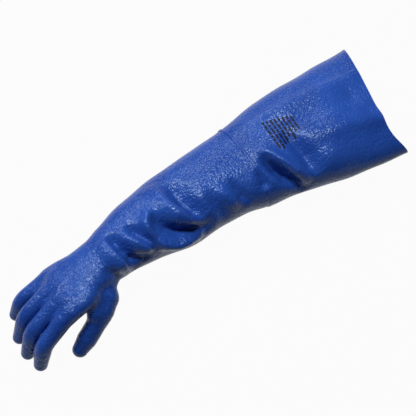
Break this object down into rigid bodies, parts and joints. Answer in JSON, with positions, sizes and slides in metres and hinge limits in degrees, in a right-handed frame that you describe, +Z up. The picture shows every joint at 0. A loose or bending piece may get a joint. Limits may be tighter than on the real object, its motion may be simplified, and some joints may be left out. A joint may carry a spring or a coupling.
{
  "type": "cryogenic glove",
  "caption": "Shoulder-length insulated glove with a smooth waterproof coat, a welded arm sleeve, and segments that fold at the elbow, the wrist and along each finger.",
  "frame": {"origin": "centre of the glove on the surface that it lies on", "axes": "+Z up, +X along the arm from the hand to the arm opening, thumb toward -Y"},
  "size_m": [0.6238, 0.2296, 0.0926],
  "materials": {
    "pvc_coat": "glossy dipped PVC with a fine pebbled texture, blue",
    "pvc_sleeve": "glossy PVC sheet, blue",
    "weld": "welded PVC, blue",
    "insulation": "thermal fleece, off-white",
    "liner": "knitted liner, off-white"
  },
  "bodies": {
    "arm": {"sleeve": "pvc_sleeve", "sleeve_seam": "pvc_sleeve", "sleeve_elbow": "pvc_sleeve"},
    "forearm": {"weld_band": "weld", "gauntlet_coat": "pvc_coat", "gauntlet_insulation": "insulation", "gauntlet_liner": "liner", "lining_hem": "liner", "wrist_coat": "pvc_coat", "wrist_insulation": "insulation", "wrist_liner": "liner"},
    "hand": {"hand_coat": "pvc_coat", "hand_insulation": "insulation", "hand_liner": "liner", "index_knuckle_crease": "pvc_coat", "middle_knuckle_crease": "pvc_coat", "ring_knuckle_crease": "pvc_coat", "little_knuckle_crease": "pvc_coat", "thumb_knuckle_crease": "pvc_coat"},
    "index_near": {"index_near_coat": "pvc_coat", "index_near_insulation": "insulation", "index_near_liner": "liner", "index_middle_crease": "pvc_coat"},
    "index_far": {"index_far_coat": "pvc_coat", "index_far_insulation": "insulation", "index_far_liner": "liner"},
    "middle_near": {"middle_near_coat": "pvc_coat", "middle_near_insulation": "insulation", "middle_near_liner": "liner", "middle_middle_crease": "pvc_coat"},
    "middle_far": {"middle_far_coat": "pvc_coat", "middle_far_insulation": "insulation", "middle_far_liner": "liner"},
    "ring_near": {"ring_near_coat": "pvc_coat", "ring_near_insulation": "insulation", "ring_near_liner": "liner", "ring_middle_crease": "pvc_coat"},
    "ring_far": {"ring_far_coat": "pvc_coat", "ring_far_insulation": "insulation", "ring_far_liner": "liner"},
    "little_near": {"little_near_coat": "pvc_coat", "little_near_insulation": "insulation", "little_near_liner": "liner", "little_middle_crease": "pvc_coat"},
    "little_far": {"little_far_coat": "pvc_coat", "little_far_insulation": "insulation", "little_far_liner": "liner"},
    "thumb_near": {"thumb_near_coat": "pvc_coat", "thumb_near_insulation": "insulation", "thumb_near_liner": "liner", "thumb_middle_crease": "pvc_coat"},
    "thumb_far": {"thumb_far_coat": "pvc_coat", "thumb_far_insulation": "insulation", "thumb_far_liner": "liner"}
  },
  "joints": [
    {"name": "elbow", "type": "hinge", "parent": "arm", "child": "forearm", "pos_m": [0.11953, 0.01929, 0.0429], "axis": [0, 0, 1], "range_deg": [-9, 33], "stiffness_Nm_per_rad": 3, "deforming": ["sleeve_elbow"]},
    {"name": "wrist", "type": "hinge", "parent": "forearm", "child": "hand", "pos_m": [-0.15209, -0.02373, 0.0639], "axis": [0.1692, -0.9744, 0.1478], "range_deg": [-20, 30], "stiffness_Nm_per_rad": 3, "deforming": ["wrist_coat", "wrist_insulation", "wrist_liner"]},
    {"name": "index_knuckle", "type": "hinge", "parent": "hand", "child": "index_near", "pos_m": [-0.24154, -0.07566, 0.06955], "axis": [0.1949, -0.9696, 0.1482], "range_deg": [-28, 37], "stiffness_Nm_per_rad": 0.6, "deforming": ["index_knuckle_crease"]},
    {"name": "index_middle", "type": "hinge", "parent": "index_near", "child": "index_far", "pos_m": [-0.28422, -0.08791, 0.0455], "axis": [0.1949, -0.9696, 0.1482], "range_deg": [-41, 29], "stiffness_Nm_per_rad": 0.4, "deforming": ["index_middle_crease"]},
    {"name": "middle_knuckle", "type": "hinge", "parent": "hand", "child": "middle_near", "pos_m": [-0.24274, -0.05137, 0.06731], "axis": [0.1692, -0.9744, 0.1478], "range_deg": [-24, 41], "stiffness_Nm_per_rad": 0.6, "deforming": ["middle_knuckle_crease"]},
    {"name": "middle_middle", "type": "hinge", "parent": "middle_near", "child": "middle_far", "pos_m": [-0.28773, -0.06241, 0.04598], "axis": [0.1692, -0.9744, 0.1478], "range_deg": [-42, 26], "stiffness_Nm_per_rad": 0.4, "deforming": ["middle_middle_crease"]},
    {"name": "ring_knuckle", "type": "hinge", "parent": "hand", "child": "ring_near", "pos_m": [-0.24135, -0.02707, 0.06215], "axis": [0.152, -0.9773, 0.1475], "range_deg": [-20, 45], "stiffness_Nm_per_rad": 0.6, "deforming": ["ring_knuckle_crease"]},
    {"name": "ring_middle", "type": "hinge", "parent": "ring_near", "child": "ring_far", "pos_m": [-0.28427, -0.03628, 0.04537], "axis": [0.152, -0.9773, 0.1475], "range_deg": [-42, 28], "stiffness_Nm_per_rad": 0.4, "deforming": ["ring_middle_crease"]},
    {"name": "little_knuckle", "type": "hinge", "parent": "hand", "child": "little_near", "pos_m": [-0.23942, -0.00495, 0.04883], "axis": [0.0131, -0.9896, 0.1432], "range_deg": [-18, 47], "stiffness_Nm_per_rad": 0.6, "deforming": ["little_knuckle_crease"]},
    {"name": "little_middle", "type": "hinge", "parent": "little_near", "child": "little_far", "pos_m": [-0.27596, -0.00738, 0.03542], "axis": [0.0131, -0.9896, 0.1432], "range_deg": [-41, 29], "stiffness_Nm_per_rad": 0.4, "deforming": ["little_middle_crease"]},
    {"name": "thumb_knuckle", "type": "hinge", "parent": "hand", "child": "thumb_near", "pos_m": [-0.19034, -0.0818, 0.04535], "axis": [0.606, -0.3219, -0.7274], "range_deg": [-21.5, 28.5], "stiffness_Nm_per_rad": 0.6, "deforming": ["thumb_knuckle_crease"]},
    {"name": "thumb_middle", "type": "hinge", "parent": "thumb_near", "child": "thumb_far", "pos_m": [-0.21717, -0.0952, 0.02893], "axis": [0.606, -0.3219, -0.7274], "range_deg": [-6, 60], "stiffness_Nm_per_rad": 0.4, "deforming": ["thumb_middle_crease"]}
  ]
}
